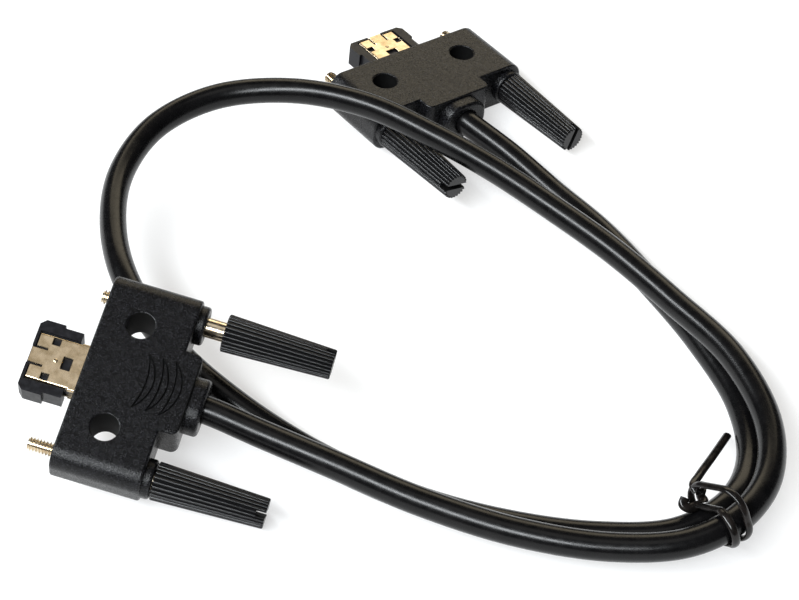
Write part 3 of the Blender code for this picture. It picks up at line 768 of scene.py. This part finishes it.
# Faces in the crescent lines and down the through holes, which get painted shade below
recesses = [face.index for face in overmould_mesh.polygons if in_a_recess(face)]
for prefix, matrix in ENDS.items():
    name = f"{prefix}_housing"
    replaced = f"{prefix}_overmould"
    piece = show(name, overmould_mesh, matrix, "moulded_black", "cable", replaced, 40.0)
    paint_recess_shade(piece, recesses)


# Plug shells: a folded plate with tongues between slits, punched windows and a dimple

SHEET = 0.3
FOLD_RADIUS = 0.5
SHELL_TIP = 17.9
SHELL_HALF_WIDTH = 4.9
SHELL_NECK_END = 9.6
FOLD_DEPTH = 0.56
TAB_TIP = 18.6
TAB_HALF_WIDTH = 1.6
SLIT_WIDTH = 0.4
SLIT_START = 15.7
SIDE_WINDOW = 1.5
SIDE_WINDOW_PLACE = (14.5, 3.8)
MAIN_WINDOW = (1.8, 2.6)
MAIN_WINDOW_X = 11.3
PUNCHED_EDGE = 0.1
DIMPLE_X = 13.5
DIMPLE_RADIUS = 0.42

# The dimple's heights over the plate, with the share of its radius at each
DIMPLE_PROFILE = ((-0.05, 1.0), (0.0, 1.0), (0.06, 0.82), (0.1, 0.5), (0.115, 0.2))


def punch(x, y):
    """A cutter for an opening in the plate whose upper edges lean outward."""
    rings = []
    for z, wider in (
        (PLUG_TOP - 2 * SHEET, 0.0),
        (PLUG_TOP - PUNCHED_EDGE, 0.0),
        (PLUG_TOP, PUNCHED_EDGE),
        (PLUG_TOP + PUNCHED_EDGE, 2 * PUNCHED_EDGE),
    ):
        low_x = x[0] - wider
        high_x = x[1] + wider
        low_y = y[0] - wider
        high_y = y[1] + wider
        corners = ((low_x, low_y), (high_x, low_y), (high_x, high_y), (low_x, high_y))
        rings.append([(*corner, z) for corner in corners])
    return loft(rings)


def shell():
    """The upper half shell in the connector's own place; the lower one is the same turned over."""
    right_side = [
        (SHELL_REAR, -SHELL_NECK_HALF_WIDTH),
        (SHELL_NECK_END, -SHELL_NECK_HALF_WIDTH),
        (SHELL_NECK_END, -SHELL_HALF_WIDTH),
        (SHELL_TIP, -SHELL_HALF_WIDTH),
        (SHELL_TIP, -TAB_HALF_WIDTH),
        (TAB_TIP, -TAB_HALF_WIDTH),
    ]
    outline = right_side + [(x, -y) for x, y in reversed(right_side)]
    levels = [(PLUG_TOP - FOLD_DEPTH, 0.0)]
    levels += [(PLUG_TOP - depth, shrink) for shrink, depth in rounding(FOLD_RADIUS, steps=6)]
    rings = []
    for z, shrink in levels:
        ring = []
        for x, y in outline:
            inward = shrink if abs(y) >= SHELL_HALF_WIDTH else 0.0
            ring.append((x, y - math.copysign(inward, y), z))
        rings.append(ring)
    mesh = loft(rings)
    hollow = block(
        (SHELL_REAR - FIT, TAB_TIP + FIT),
        (SHEET - SHELL_HALF_WIDTH, SHELL_HALF_WIDTH - SHEET),
        (PLUG_TOP - 2 * FOLD_DEPTH, PLUG_TOP - SHEET),
    )
    half = SIDE_WINDOW / 2
    x, y = SIDE_WINDOW_PLACE
    openings = []
    for side in (-1, 1):
        openings.append(punch((x - half, x + half), (side * y - half, side * y + half)))
        slit = sorted((side * TAB_HALF_WIDTH, side * (TAB_HALF_WIDTH + SLIT_WIDTH)))
        openings.append(punch((SLIT_START, TAB_TIP + FIT), slit))
    half_length, half_width = (size / 2 for size in MAIN_WINDOW)
    window_x = (MAIN_WINDOW_X - half_length, MAIN_WINDOW_X + half_length)
    openings.append(punch(window_x, (-half_width, half_width)))
    return merged(cut(mesh, hollow, *openings), dimple())


def dimple():
    """A small round boss pressed up out of the plate."""
    rings = []
    for height, share in DIMPLE_PROFILE:
        radius = DIMPLE_RADIUS * share
        outline = oval(radius, radius, count=20, middle=(DIMPLE_X, 0.0))
        rings.append([(x, y, PLUG_TOP + height) for x, y in outline])
    return loft(rings)


shell_mesh = shell()
for prefix, matrix in ENDS.items():
    for half, degrees in (("top", 0), ("bottom", 180)):
        place = matrix @ Matrix.Rotation(math.radians(degrees), 4, "X")
        name = f"{prefix}_shell_{half}"
        replaced = f"{prefix}_shield_{half}"
        show(name, shell_mesh, place, "shell_nickel", "cable", replaced, 30.0)


# Jackscrews with a rolled thread, about the middle of the knob's front face

SCREW_REACH = 25.1
SCREW_SIDES = 36
NECK_BEVEL = 0.1
THREAD_PITCH = 0.635
THREAD_DEPTH = 0.37
THREAD_RINGS_PER_TURN = 12

# The thread's height in shares of its depth: its crest before it is cut flat at 1, and its fall
# over one turn's length
THREAD_CREST = 1.25
THREAD_FALL = 3.2

# The rounded tip: its length, and how wide its end is in shares of the thread
THREAD_TIP = 0.7
THREAD_TIP_SHARE = 0.62

NECK_START = CLIP_REAR - KNOB_FRONT - FINE_FIT
NECK_END = CLIP_REAR - KNOB_FRONT + CLIP_THICKNESS + FINE_FIT
THREAD_START = NECK_END + COLLAR_LENGTH


def thread_radius(x, turn_share):
    """The radius of a pointed thread with small flats at its crest and its root."""
    phase = (x / THREAD_PITCH - turn_share) % 1.0
    height = min(1.0, max(0.0, THREAD_CREST - THREAD_FALL * abs(phase - 0.5)))
    radius = THREAD_DIAMETER / 2 - THREAD_DEPTH * (1.0 - height)
    left = (SCREW_REACH - x) / THREAD_TIP
    if left < 1.0:
        bulge = math.sqrt(max(0.0, 1 - (1 - left) ** 2))
        share = THREAD_TIP_SHARE + (1 - THREAD_TIP_SHARE) * bulge
        radius = min(radius, THREAD_DIAMETER / 2 * share)
    return radius


def screw():
    rings = []
    for x, diameter in (
        (-SHAFT_IN_KNOB, SHAFT_DIAMETER),
        (NECK_START - NECK_BEVEL, SHAFT_DIAMETER),
        (NECK_START, SHAFT_DIAMETER - 2 * NECK_BEVEL),
        (NECK_START, CLIP_NECK),
        (NECK_END, CLIP_NECK),
        (NECK_END, SHAFT_DIAMETER),
        (THREAD_START, SHAFT_DIAMETER),
    ):
        rings.append([(x, y, z) for y, z in oval(diameter / 2, diameter / 2, SCREW_SIDES)])
    turns = (SCREW_REACH - THREAD_START) / THREAD_PITCH
    steps = round(turns * THREAD_RINGS_PER_TURN)
    for i in range(steps + 1):
        x = THREAD_START + (SCREW_REACH - THREAD_START) * i / steps
        ring = []
        for j in range(SCREW_SIDES):
            angle = 2 * math.pi * j / SCREW_SIDES
            radius = thread_radius(x, j / SCREW_SIDES)
            ring.append((x, radius * math.cos(angle), radius * math.sin(angle)))
        rings.append(ring)
    return loft(rings)


screw_mesh = screw()
for prefix in ENDS:
    for side in ("left", "right"):
        place = screw_matrix(prefix, side)
        name = f"{prefix}_jackscrew_{side}"
        body = f"{prefix}_{side}_screw"
        replaced = f"{prefix}_screw_{side}"
        show(name, screw_mesh, place, "screw_nickel", body, replaced, 35.0)


# Knobs: tapered, with rounded ribs and a screwdriver slot in the rear end

KNOB_LENGTH = 22.05
KNOB_FRONT_DIAMETER = 7.6
KNOB_REAR_DIAMETER = 6.0
KNOB_RIBS = 24
KNOB_RIB_DEPTH = 0.35
KNOB_END_ROUNDING = 0.25
KNOB_SLOT_WIDTH = 1.1
KNOB_SLOT_DEPTH = 1.9
KNOB_TURNS = {
    "end_a": {"left": -29.0, "right": 34.0},
    "end_b": {"left": 20.0, "right": 100.0},
}

# One rounded rib and the narrow groove after it: share of the way from rib to rib, and depth there
# in shares of the ribs' depth
RIB_PROFILE = (
    (0.00, 0.85), (0.06, 0.48), (0.13, 0.24), (0.22, 0.08), (0.33, 0.00), (0.44, 0.02),
    (0.55, 0.12), (0.62, 0.32), (0.68, 0.58), (0.74, 0.92), (0.80, 1.10), (0.94, 1.10),
)

# From this share of the ribs' depth on, a face is in a groove
GROOVE_START = 0.66

# A face whose normal points this far along the knob is on one of its ends
END_FACING = 0.9


def knob_radius(x):
    """The tapered knob's radius over its ribs, at a place behind its front face."""
    taper = (KNOB_FRONT_DIAMETER - KNOB_REAR_DIAMETER) / KNOB_LENGTH
    return (KNOB_FRONT_DIAMETER + taper * x) / 2


def knob():
    rings = []
    edge = rounding(KNOB_END_ROUNDING, steps=3)
    places = [(-KNOB_LENGTH + depth, shrink) for depth, shrink in edge]
    places += [(-depth, shrink) for depth, shrink in reversed(edge)]
    for x, shrink in places:
        ring = []
        for rib in range(KNOB_RIBS):
            for share, depth in RIB_PROFILE:
                radius = knob_radius(x) - shrink - KNOB_RIB_DEPTH * depth
                angle = 2 * math.pi * (rib + share) / KNOB_RIBS
                ring.append((x, radius * math.cos(angle), radius * math.sin(angle)))
        rings.append(ring)
    radius = SHAFT_DIAMETER / 2 + FINE_FIT
    bore = turned(((-SHAFT_IN_KNOB - FIT, radius), (FIT, radius)), count=36)
    slot = block(
        (-KNOB_LENGTH - FIT, -KNOB_LENGTH + KNOB_SLOT_DEPTH),
        (-KNOB_SLOT_WIDTH / 2, KNOB_SLOT_WIDTH / 2),
        (-KNOB_FRONT_DIAMETER, KNOB_FRONT_DIAMETER),
    )
    return cut(loft(rings), bore, slot)


def between_ribs(face):
    """Whether a face lies deeper than the ribs' flanks: in a groove, the bore or the slot."""
    x, y, z = face.center / MM
    inner = knob_radius(x) - GROOVE_START * KNOB_RIB_DEPTH
    return math.hypot(y, z) < inner and abs(face.normal.x) < END_FACING


knob_mesh = knob()
# Faces in the knob's grooves, bore and slot, which get painted shade below
knob_grooves = [face.index for face in knob_mesh.polygons if between_ribs(face)]
for prefix in ENDS:
    for side, degrees in KNOB_TURNS[prefix].items():
        place = screw_matrix(prefix, side) @ Matrix.Rotation(math.radians(degrees), 4, "X")
        name = f"{prefix}_grip_{side}"
        body = f"{prefix}_{side}_screw"
        replaced = f"{prefix}_knob_{side}"
        piece = show(name, knob_mesh, place, "knob_black", body, replaced, 40.0)
        paint_recess_shade(piece, knob_grooves)


# Twisted tie: a flat coated wire, wound twice round the two runs of the cable

TIE_OUTER_RUN = (79.7, -75.0, 8.2)
TIE_INNER_RUN = (76.1, -70.9, 4.5)
TIE_ALONG = (0.78, 0.62, 0.03)

# Each turn's shift along the outer run and along the inner one, and its slack over their tops
TIE_TURNS = ((0.7, 0.2, 3.4), (-3.0, -0.6, 0.1))
TIE_WIDTH = 1.7
TIE_THICKNESS = 1.0
TIE_TWIST = [(73.4, -67.0, 8.7), (74.6, -68.6, 8.4), (73.9, -70.2, 7.3)]
TIE_STRAND_WIDTH = 1.36
TIE_STRAND_THICKNESS = 1.04
TIE_STRAND_OFFSET = 0.55
TIE_TWIST_TURNS = 1.4
TIE_TAIL = [
    (73.5, -67.9, 8.4), (72.9, -66.6, 8.7), (74.2, -63.7, 8.1), (77.8, -56.2, 5.4), (81.8, -47.5, 2.0),
]
TIE_TAIL_WIDTH = 1.7
TIE_TAIL_THICKNESS = 1.16
TIE_STUB = [(73.2, -70.7, 7.5), (71.7, -71.3, 7.7), (70.7, -70.9, 8.2), (71.1, -69.9, 8.9)]
TIE_STUB_WIDTH = 1.94
TIE_STUB_THICKNESS = 1.4


def tie_turn(outer_offset, inner_offset, slack):
    """One turn of the tie: it lies on two circles about the runs, and slants along them."""
    outer = Vector(TIE_OUTER_RUN)
    inner = Vector(TIE_INNER_RUN)
    across = (outer - inner).normalized()
    along = Vector(TIE_ALONG)
    along = (along - across * along.dot(across)).normalized()
    upward = across.cross(along)
    reach = CABLE_DIAMETER / 2 + FIT + TIE_THICKNESS / 2
    steps = 28
    points = []
    for middle, start in ((outer, -90), (inner, 90)):
        for i in range(steps + 1):
            angle = math.radians(start + 180 * i / steps)
            away = reach + slack * max(0.0, math.sin(angle)) ** 2
            slant = (outer_offset + inner_offset) / 2
            slant += (outer_offset - inner_offset) / 2 * math.cos(angle)
            direction = across * math.cos(angle) + upward * math.sin(angle)
            points.append(middle + direction * away + along * slant)
    outline = oval(TIE_WIDTH / 2, TIE_THICKNESS / 2, count=16)
    return sweep(points, outline, side=along, closed=True)


def tie_twist():
    """The two ends of the wire, wound about each other."""
    path = evenly(smooth_curve(TIE_TWIST, per_span=14), count=60)
    strands = []
    for side in (-1, 1):
        middle = (side * TIE_STRAND_OFFSET, 0.0)
        outline = oval(TIE_STRAND_WIDTH / 2, TIE_STRAND_THICKNESS / 2, count=16, middle=middle)
        strands.append(sweep(path, outline, twist=TIE_TWIST_TURNS))
    return strands


def tie_end(points, width, thickness):
    """One of the two free ends beyond the twist."""
    path = smooth_curve(points, per_span=14)
    return sweep(path, oval(width / 2, thickness / 2, count=16), side=TIE_ALONG)


tie_turns = [tie_turn(*amounts) for amounts in TIE_TURNS]
tie_tail = tie_end(TIE_TAIL, TIE_TAIL_WIDTH, TIE_TAIL_THICKNESS)
tie_stub = tie_end(TIE_STUB, TIE_STUB_WIDTH, TIE_STUB_THICKNESS)
tie_mesh = merged(*tie_turns, *tie_twist(), tie_tail, tie_stub)
tie = show("tie", tie_mesh, Matrix(), "tie_black", "cable", "twist_tie", 50.0)


# Floor and light, in metres

FLOOR_HALF_SIZE = 3.0
FLOOR_DROP = 0.00002
FLOOR_GLOW = 0.58
FLOOR_WHITE = (0.97, 0.97, 0.97, 1.0)
PLAIN_WHITE = (1.0, 1.0, 1.0, 1.0)
WORLD_COLOUR = (0.93, 0.96, 1.0, 1.0)
WORLD_LIGHT = 0.06

# Each panel: bearing from the front and height in degrees, distance, size, brightness, colour
PANELS = {
    "key": (-50, 50, 3.0, (4.4, 0.66), 28.0, (0.93, 0.97, 1.0)),
    "back": (174, 31, 3.0, (2.7, 1.3), 2.6, (1.0, 0.88, 0.66)),
    "top": (0, 88, 3.3, (1.5, 1.5), 0.8, (1.0, 0.97, 0.92)),
}


def make_floor():
    """A white floor: mostly plain white to the eye, the rest lit, so that soft shadows show."""
    bm = bmesh.new()
    bmesh.ops.create_grid(bm, x_segments=2, y_segments=2, size=FLOOR_HALF_SIZE)
    mesh = bpy.data.meshes.new("floor")
    bm.to_mesh(mesh)
    bm.free()
    obj = bpy.data.objects.new("floor", mesh)
    scene.collection.objects.link(obj)
    obj.location = (0.0, 0.0, -FLOOR_DROP)
    material = bpy.data.materials.new("floor_white")
    material.use_nodes = True
    tree = material.node_tree
    tree.nodes.clear()
    output = tree.nodes.new("ShaderNodeOutputMaterial")
    mix = tree.nodes.new("ShaderNodeMixShader")
    diffuse = tree.nodes.new("ShaderNodeBsdfDiffuse")
    diffuse.inputs["Color"].default_value = FLOOR_WHITE
    glow = tree.nodes.new("ShaderNodeEmission")
    glow.inputs["Color"].default_value = PLAIN_WHITE
    glow.inputs["Strength"].default_value = 1.0
    path = tree.nodes.new("ShaderNodeLightPath")
    total = path.outputs["Is Camera Ray"]
    for name in ("Is Glossy Ray", "Is Transmission Ray"):
        sum_node = tree.nodes.new("ShaderNodeMath")
        sum_node.operation = "ADD"
        sum_node.use_clamp = True
        tree.links.new(total, sum_node.inputs[0])
        tree.links.new(path.outputs[name], sum_node.inputs[1])
        total = sum_node.outputs[0]
    share = tree.nodes.new("ShaderNodeMath")
    share.operation = "MULTIPLY"
    share.inputs[1].default_value = FLOOR_GLOW
    tree.links.new(total, share.inputs[0])
    tree.links.new(share.outputs[0], mix.inputs[0])
    tree.links.new(diffuse.outputs[0], mix.inputs[1])
    tree.links.new(glow.outputs[0], mix.inputs[2])
    tree.links.new(mix.outputs[0], output.inputs["Surface"])
    mesh.materials.append(material)


def make_world():
    """A faint sky for the object, which the camera sees as plain white."""
    world = bpy.data.worlds.new("world")
    scene.world = world
    world.use_nodes = True
    tree = world.node_tree
    tree.nodes.clear()
    output = tree.nodes.new("ShaderNodeOutputWorld")
    light = tree.nodes.new("ShaderNodeBackground")
    light.inputs["Color"].default_value = WORLD_COLOUR
    light.inputs["Strength"].default_value = WORLD_LIGHT
    white = tree.nodes.new("ShaderNodeBackground")
    white.inputs["Color"].default_value = PLAIN_WHITE
    white.inputs["Strength"].default_value = 1.0
    path = tree.nodes.new("ShaderNodeLightPath")
    mix = tree.nodes.new("ShaderNodeMixShader")
    tree.links.new(path.outputs["Is Camera Ray"], mix.inputs[0])
    tree.links.new(light.outputs[0], mix.inputs[1])
    tree.links.new(white.outputs[0], mix.inputs[2])
    tree.links.new(mix.outputs[0], output.inputs["Surface"])


def make_panel(name, side, height, distance, size, brightness, colour):
    """A soft panel that faces the object from a bearing and a height."""
    side = math.radians(side)
    height = math.radians(height)
    data = bpy.data.lights.new(name, "AREA")
    data.shape = "RECTANGLE"
    data.size = size[0]
    data.size_y = size[1]
    data.energy = brightness * math.pi * size[0] * size[1]
    data.color = colour
    lamp = bpy.data.objects.new(name, data)
    scene.collection.objects.link(lamp)
    toward = Vector(
        (math.sin(side) * math.cos(height), -math.cos(side) * math.cos(height), math.sin(height))
    )
    lamp.location = toward * distance
    lamp.rotation_euler = (-toward).to_track_quat("-Z", "Y").to_euler()


make_floor()
make_world()
for name, values in PANELS.items():
    make_panel(name, *values)

scene.view_settings.view_transform = "Standard"
